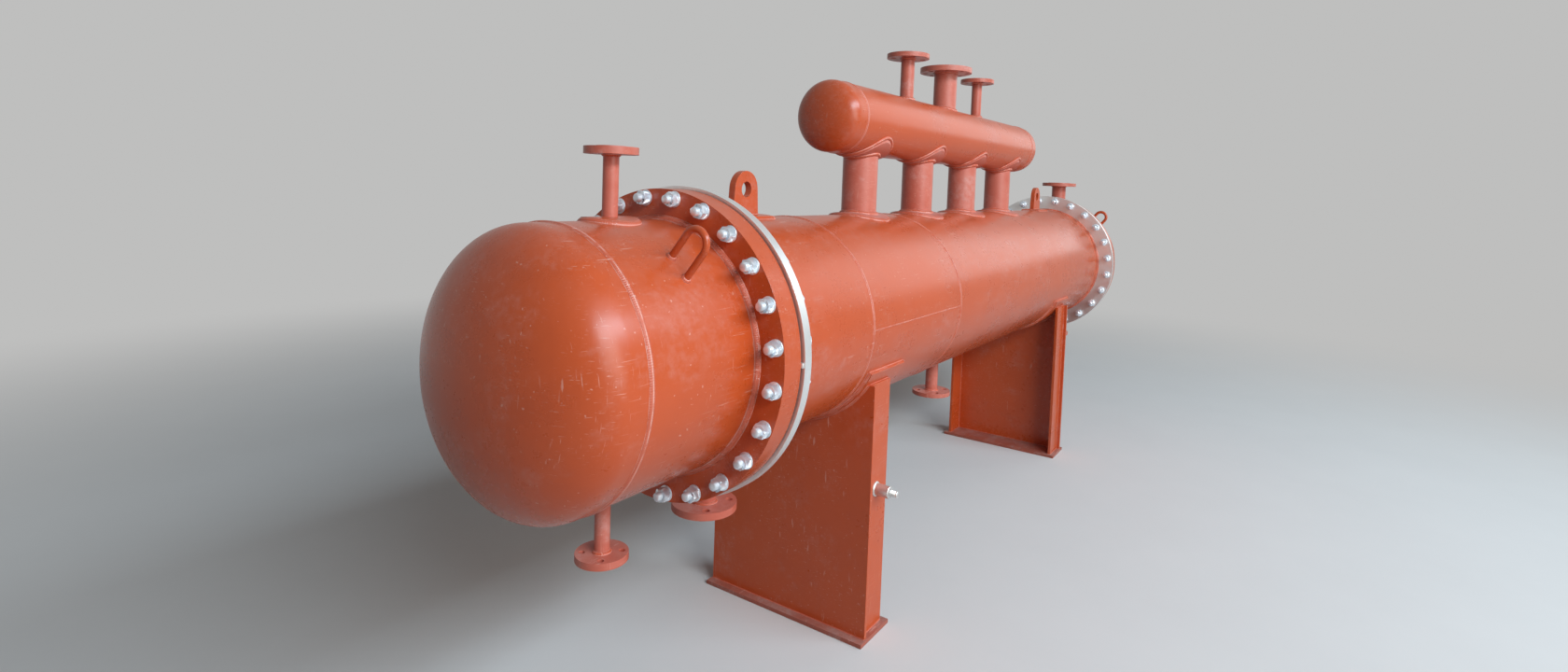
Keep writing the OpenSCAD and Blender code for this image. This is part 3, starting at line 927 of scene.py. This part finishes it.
@dataclass
class EarthBoss:
    """The turned earthing boss on the front saddle, with its threaded end and its weld."""

    boss_r: float = 0.017
    bolt_r: float = 0.009
    bolt_length: float = 0.023
    relief_r: float = 0.0072
    pitch: float = 0.0025
    thread_depth: float = 0.0013
    tip: float = 0.0018
    foot: Bead | None = None

    def build(self) -> None:
        """Models the boss along X, turns it to -Y and puts it on its node."""
        lo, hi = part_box("earthing_boss")
        length, edge = hi.y - lo.y, 1.5 * MM
        step = length - self.bolt_length
        outline = [(0.0, 0.0), (0.0, self.boss_r), (step - edge, self.boss_r), (step, self.boss_r - edge)]
        x = step + 3 * MM
        outline += [(step, self.relief_r), (x, self.relief_r)]
        while x < length - 2 * self.pitch:
            outline += [(x + self.pitch / 2, self.bolt_r), (x + self.pitch, self.bolt_r - self.thread_depth)]
            x += self.pitch
        outline += [(length - edge, self.bolt_r), (length, self.bolt_r - self.tip), (length, 0.0)]
        seat = Matrix.Translation(((lo.x + hi.x) / 2, hi.y, (lo.z + hi.z) / 2))
        place = seat @ Matrix.Rotation(-math.pi / 2, 4, "Z")
        boss = smooth(lathe("earthing_boss_turned", outline, 48), 30.0)
        boss.data.transform(place)
        finish_piece(boss, Slot.STAINLESS, "earthing_boss")
        weld = self.foot.ring(self.boss_r)
        weld.data.transform(place @ Matrix.Rotation(math.pi / 2, 4, "Y"))
        weld.name = "earthing_boss_weld"
        finish_piece(smooth(weld, 80.0), Slot.STAINLESS)


@dataclass
class JointTab:
    """The small tab that stands out of the front joint beside the tube sheet."""

    layout: Layout
    height: float = 0.011
    proud: float = 0.004

    def build(self) -> Object:
        """Models the tab as a bevelled strip in the gap of the joint."""
        at = self.layout
        lo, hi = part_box("front_gasket")
        outer, inner = at.flange_r + self.proud, hi.y - 4 * MM
        bpy.ops.mesh.primitive_cube_add(size=1, location=((lo.x + hi.x) / 2, -(outer + inner) / 2, at.axis_z))
        tab = bpy.context.object
        tab.name = tab.data.name = "front_joint_tab"
        tab.scale = (hi.x - lo.x - 0.4 * MM, outer - inner, self.height)
        settle(tab)
        apply_modifier(tab, "BEVEL", width=1.2 * MM, segments=3)
        return finish_piece(smooth(tab, 40.0), Slot.BARE)


# Stud bolts


@dataclass
class StudSet:
    """The ring of stud bolts of one channel joint, with threads, nuts and washers."""

    end: End
    layout: Layout
    count: int = 24
    rod_r: float = 0.010
    pitch: float = 0.0025
    thread_depth: float = 0.0013
    flats: float = 0.030
    nut_height: float = 0.018
    nut_face: float = 0.98
    nut_fall: float = 0.62
    washer_r: float = 0.0185
    washer_height: float = 0.003

    def rod(self, start: float, end: float) -> Object:
        """Models a rod from one X to another, with rounded tips and threads where it shows."""
        tip, at = self.pitch, self.layout
        root_r = self.rod_r - self.thread_depth
        outline = [(start, 0.0), (start, self.rod_r * 0.5), (start + tip * 0.35, self.rod_r * 0.8)]
        x = start + tip
        while x < end - tip:
            outline.append((x, self.rod_r))
            outline.append((x + self.pitch / 2, root_r))
            x += self.pitch
            if at.sheet_inner < x < at.flange_face - self.pitch:
                x = at.flange_face - self.pitch
        outline += [(end - tip * 0.35, self.rod_r * 0.8), (end, self.rod_r * 0.5), (end, 0.0)]
        return smooth(lathe("rod", outline, 16), 25.0)

    def nut(self) -> Object:
        """Models a hexagonal nut with turned corners, standing on X = 0."""
        corner_r = self.flats / 2 / math.cos(math.pi / 6)
        bpy.ops.mesh.primitive_cylinder_add(
            vertices=6, radius=corner_r, depth=self.nut_height,
            location=(self.nut_height / 2, 0, 0), rotation=(0, math.pi / 2, 0),
        )
        hexagon = settle(bpy.context.object)
        fall = (corner_r - self.flats / 2) * self.nut_fall
        half = [(0.0, 0.0), (0.0, self.flats / 2 * self.nut_face), (fall, corner_r)]
        turned = lathe("turned", half + [(self.nut_height - x, r) for x, r in reversed(half)], 48)
        apply_modifier(hexagon, "BOOLEAN", operation="INTERSECT", object=turned, solver="EXACT")
        bpy.data.objects.remove(turned)
        apply_modifier(hexagon, "BEVEL", width=0.5 * MM, segments=1, limit_method="ANGLE", angle_limit=0.5)
        return smooth(hexagon, 30.0)

    def washer(self) -> Object:
        """Models a washer with rounded edges, standing on X = 0."""
        edge = 0.6 * MM
        top, rim = self.washer_height, self.washer_r
        half = [(0.0, 0.0), (0.0, rim - edge), (edge, rim)]
        outline = half + [(top - x, r) for x, r in reversed(half)]
        return smooth(lathe("washer", outline, 32), 50.0)

    def build(self) -> Object:
        """Models one bolt and copies it round the flange."""
        at = self.layout
        node = f"{self.end.label}_stud_bolts"
        lo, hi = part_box(node)
        circle_r = ((hi.z - lo.z) / 2 - self.washer_r) / math.cos(TURN / 2 / self.count)
        parts = [self.rod(*sorted((abs(lo.x), abs(hi.x))))]
        for seat, sign in ((at.flange_face, 1), (at.sheet_inner, -1)):
            for model, offset in ((self.washer(), 0.0), (self.nut(), self.washer_height)):
                place = Matrix.Translation((seat, 0, 0)) @ Matrix.Scale(sign, 4, (1, 0, 0))
                model.data.transform(place @ Matrix.Translation((offset, 0, 0)))
                if sign < 0:
                    model.data.flip_normals()
                parts.append(model)
        bolt = join(parts, "bolt")
        copies = []
        for i in range(self.count):
            turn = (i + 0.5) * TURN / self.count
            twist = Matrix.Rotation(0.9 * math.sin(7.1 * i + self.end.value), 4, "X")
            place = Matrix.Translation((0, 0, at.axis_z)) @ Matrix.Rotation(turn, 4, "X")
            copies.append(copy_of(bolt, place @ Matrix.Translation((0, 0, circle_r)) @ twist))
        bpy.data.objects.remove(bolt)
        piece = join(copies, f"{self.end.label}_studs_and_nuts")
        if self.end is End.FRONT:
            piece.data.transform(Matrix.Scale(-1, 4, (1, 0, 0)))
            piece.data.flip_normals()
        return finish_piece(piece, Slot.ZINC, node)


# Smooth domed ends


@dataclass
class DomedEnd:
    """A domed head or cap, remodelled on its solid with a smooth outline."""

    node: str
    wall: float
    skirt: float
    steps: int = 28

    def build(self) -> Object:
        """Spins the dome's wall and puts it on its node."""
        lo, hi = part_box(self.node)
        radius = (hi.z - lo.z) / 2

        def arc(reach: float, depth: float) -> list[tuple[float, float]]:
            quarter = [math.pi / 2 * i / self.steps for i in range(self.steps + 1)]
            return [(self.skirt + depth * math.sin(a), max(reach * math.cos(a), 0.0)) for a in quarter]

        outer = [(0.0, radius), *arc(radius, radius / 2)]
        inner = [(0.0, radius - self.wall), *arc(radius - self.wall, radius / 2 - self.wall)]
        piece = lathe(f"{self.node}_dome", outer + inner[::-1] + outer[:1], 128)
        x, turn = (lo.x, 0.0) if hi.x > 0 else (hi.x, math.pi)
        place = Matrix.Translation((x, 0, (lo.z + hi.z) / 2)) @ Matrix.Rotation(turn, 4, "Z")
        piece.data.transform(place)
        return finish_piece(smooth(piece, 50.0), Slot.RED, self.node)


# Plates and rings with rounded edges


@dataclass
class EasedNode:
    """A node's own shape with its sharp edges rounded, as cut and painted steel has them."""

    node: str
    slot: Slot
    radius: float = 0.0012
    segments: int = 2
    finish: str = ""

    def build(self) -> Object:
        """Copies the node's mesh, merges it, rounds its edges and replaces the node."""
        source = bpy.data.objects[self.node]
        piece = bpy.data.objects.new(f"{self.node}_eased", source.data.copy())
        bpy.context.scene.collection.objects.link(piece)
        with editing(piece):
            bpy.ops.mesh.remove_doubles(threshold=1e-5)
            bpy.ops.mesh.dissolve_limited(angle_limit=math.radians(0.4))
        if piece.data.has_custom_normals:
            bpy.ops.mesh.customdata_custom_splitnormals_clear()
        apply_modifier(
            piece, "BEVEL", width=self.radius, segments=self.segments, limit_method="ANGLE",
            angle_limit=math.radians(40), use_clamp_overlap=True,
        )
        apply_modifier(smooth(piece, 32.0), "WEIGHTED_NORMAL", keep_sharp=True)
        return finish_piece(piece, self.slot, self.node, finish=self.finish)


# Stage


@dataclass
class Stage:
    """The floor, the lights and the camera at the photograph's viewpoint."""

    lens: float = 17.4
    shift_y: float = -0.071
    camera_at: tuple[float, float, float] = (-2.839, -1.209, 1.261)
    yaw: float = 0.6041
    pitch: float = -0.0529
    roll: float = -0.0363
    floor_colour: Colour = (0.78, 0.75, 0.715, 1)
    bounce_colour: Colour = (0.36, 0.35, 0.335, 1)
    backdrop_colour: Colour = (0.52, 0.52, 0.515, 1)

    def camera(self) -> None:
        """Makes the camera from its fitted yaw, pitch and roll."""
        bpy.ops.object.camera_add(location=self.camera_at)
        camera = bpy.context.object
        camera.name = "camera"
        cos_p, sin_p = math.cos(self.pitch), math.sin(self.pitch)
        ahead = Vector((cos_p * math.cos(self.yaw), cos_p * math.sin(self.yaw), sin_p))
        right = ahead.cross(Vector((0, 0, 1))).normalized()
        down = ahead.cross(right)
        cos_r, sin_r = math.cos(self.roll), math.sin(self.roll)
        right, down = right * cos_r + down * sin_r, down * cos_r - right * sin_r
        turn = Matrix((right, -down, -ahead)).transposed().to_4x4()
        camera.matrix_world = Matrix.Translation(self.camera_at) @ turn
        camera.data.lens = self.lens
        camera.data.shift_y = self.shift_y
        camera.data.clip_start = 0.02
        camera.data.clip_end = 200
        bpy.context.scene.camera = camera

    def pale_floor(self) -> bpy.types.Material:
        """Makes the floor's pale concrete, which keeps the shadows.

        It runs out into the backdrop's colour for the camera, and throws little light back on the object.
        """
        shader = MaterialBuilder("pale_floor")
        place, seen = shader.place, self.seen(shader)
        darker = tuple(c * 0.93 for c in self.floor_colour[:3]) + (1.0,)
        pale = shader.mix(shader.noise(place, 2.2, 7.0, 0.62), darker, self.floor_colour)
        surface = shader.surface(base_color=shader.mix(seen, self.bounce_colour, pale), roughness=0.9)
        far = shader.node("ShaderNodeVectorMath", operation="LENGTH")
        shader.feed(far.inputs[0], place)
        share = shader.times(shader.spread(far.outputs["Value"], 2.2, 6.5), seen)
        backdrop = shader.node("ShaderNodeEmission", color=self.backdrop_colour, strength=1.0)
        return shader.done(self.choose(shader, share, surface, backdrop.outputs[0]))

    def seen(self, shader: Shader) -> Socket:
        """Tells the rays that show a background from those that light the object."""
        path = shader.node("ShaderNodeLightPath")
        mirrored = shader.math("MAXIMUM", path.outputs["Is Glossy Ray"], path.outputs["Is Transmission Ray"])
        return shader.math("MAXIMUM", path.outputs["Is Camera Ray"], mirrored)

    def choose(self, shader: Shader, share: object, a: object, b: object) -> Socket:
        """Mixes two shaders and returns the result."""
        chooser = shader.node("ShaderNodeMixShader")
        for socket, value in zip(chooser.inputs, (share, a, b)):
            shader.feed(socket, value)
        return chooser.outputs[0]

    def floor(self) -> None:
        """A wide plain floor."""
        bpy.ops.mesh.primitive_plane_add(size=120)
        floor = bpy.context.object
        floor.name = "floor"
        floor.data.materials.append(self.pale_floor())

    def light(self, name: str, at: tuple, toward: tuple, size: tuple, power: float, tint: tuple) -> None:
        """Adds one soft rectangular lamp that faces a point, with its width and height and its watts."""
        bpy.ops.object.light_add(type="AREA", location=at)
        lamp = bpy.context.object
        lamp.name = name
        lamp.data.shape = "RECTANGLE"
        lamp.data.size, lamp.data.size_y = size
        lamp.data.energy = power
        lamp.data.color = tint
        lamp.rotation_mode = "QUATERNION"
        lamp.rotation_quaternion = (Vector(toward) - Vector(at)).to_track_quat("-Z", "Y")

    def lights(self) -> None:
        """A long strip beside the shell, a lamp in front, one past the far end, a low one and an even sky."""
        middle = (-0.3, 0.0, 0.9)
        self.light("strip", (-1.2, -5.4, 4.7), (-1.2, 0.0, 0.9), (9.0, 1.2), 510.0, (0.69, 0.86, 1.0))
        self.light("front", (-3.2, -6.0, 3.0), middle, (4.0, 4.0), 145.0, (1.0, 0.97, 0.93))
        self.light("sheen", (6.8, -2.6, 3.6), middle, (4.0, 4.0), 60.0, (0.95, 0.97, 1.0))
        self.light("low", (-1.4, -6.8, 0.9), (0.0, 0.0, 0.8), (3.5, 3.5), 55.0, (1.0, 0.98, 0.94))
        world = bpy.data.worlds.new("sky")
        bpy.context.scene.world = world
        world.use_nodes = True
        shader = Shader(world.node_tree)
        sky = shader.node("ShaderNodeBackground", color=(0.93, 0.96, 1.0, 1), strength=0.11)
        backdrop = shader.node("ShaderNodeBackground", color=self.backdrop_colour, strength=1.0)
        seen = self.choose(shader, self.seen(shader), sky.outputs[0], backdrop.outputs[0])
        shader.feed(shader.node("ShaderNodeOutputWorld").inputs["Surface"], seen)

    def build(self) -> None:
        """Sets the whole stage."""
        self.camera()
        self.floor()
        self.lights()
        bpy.context.scene.view_settings.view_transform = "Standard"


def paint_nodes(frame: dict) -> None:
    """Gives every node that still shows the material of its slot, and the necks and risers the overspray
    primer, whose pinker colour is partly a painted sheen.
    """
    slots = {part["node"]: part["material_slot"] for part in frame["record"]["subparts"]}
    for name, node in frame["nodes"].items():
        # the necks and risers take the overspray primer, partly a painted sheen
        dry_with_sheen = name.startswith("riser_") or name.endswith("_necks")
        paint(node, DRY_PAINT_WITH_SHEEN if dry_with_sheen else Slot(slots[name]).finish)


def main() -> None:
    """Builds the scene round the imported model."""
    logging.basicConfig(level=logging.INFO, format="%(message)s")
    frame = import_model()
    PaintGroup()
    MetalGroup()
    for finish in FINISHES:
        finish.build()
    paint_nodes(frame)
    layout = Layout.from_frame()
    Stage().build()
    for end in End:
        DomedEnd(f"{end.label}_channel_head", wall=0.010, skirt=0.040).build()
        DomedEnd(f"header_cap_{end.label}", wall=0.008, skirt=0.047).build()
        StudSet(end, layout).build()
        for part in ("saddle_web", "saddle_ribs", "wear_pad"):
            EasedNode(f"{end.label}_{part}", Slot.RED).build()
        EasedNode(f"{end.label}_channel_flange", Slot.RED, radius=0.002).build()
        EasedNode(f"{end.label}_saddle_base", Slot.RED, finish=GRIMY_PAINT).build()
        EasedNode(f"{end.label}_tube_sheet", Slot.BARE, radius=0.0008).build()
    for node in ("lifting_lugs", "lifting_lug_pads"):
        EasedNode(node, Slot.RED).build()
    # the nozzle flanges take the overspray primer, partly a painted sheen
    for group in ("front_channel", "rear_channel", "shell", "header"):
        EasedNode(f"{group}_nozzle_flanges", Slot.RED, finish=DRY_PAINT_WITH_SHEEN).build()
    EarthBoss(foot=Bead(along=0.0045, out=0.0045, shape=1.5, waviness=0.2)).build()
    JointTab(layout).build()
    Welds(
        layout,
        {mount["name"]: mount for mount in frame["record"]["mounts"]},
        head_girth=Bead(along=0.007, out=0.0032, waviness=0.14),
        shell_girth=Bead(along=0.005, out=0.0022, waviness=0.12),
        flange_fillet=Bead(along=0.010, out=0.010, shape=1.3, waviness=0.05, sides=12),
        branch_fillet=Bead(along=0.008, out=0.008, shape=1.3),
        small_fillet=Bead(along=0.005, out=0.005, shape=1.3, pitch=0.006),
        plate_fillet=Bead(along=0.0075, out=0.0075, shape=1.3),
        web_fillet=Bead(along=0.005, out=0.005, shape=1.3),
        handle_fillet=Bead(along=0.004, out=0.0035, shape=1.5, waviness=0.3, pitch=0.003),
    ).build()


if __name__ == "__main__":
    main()
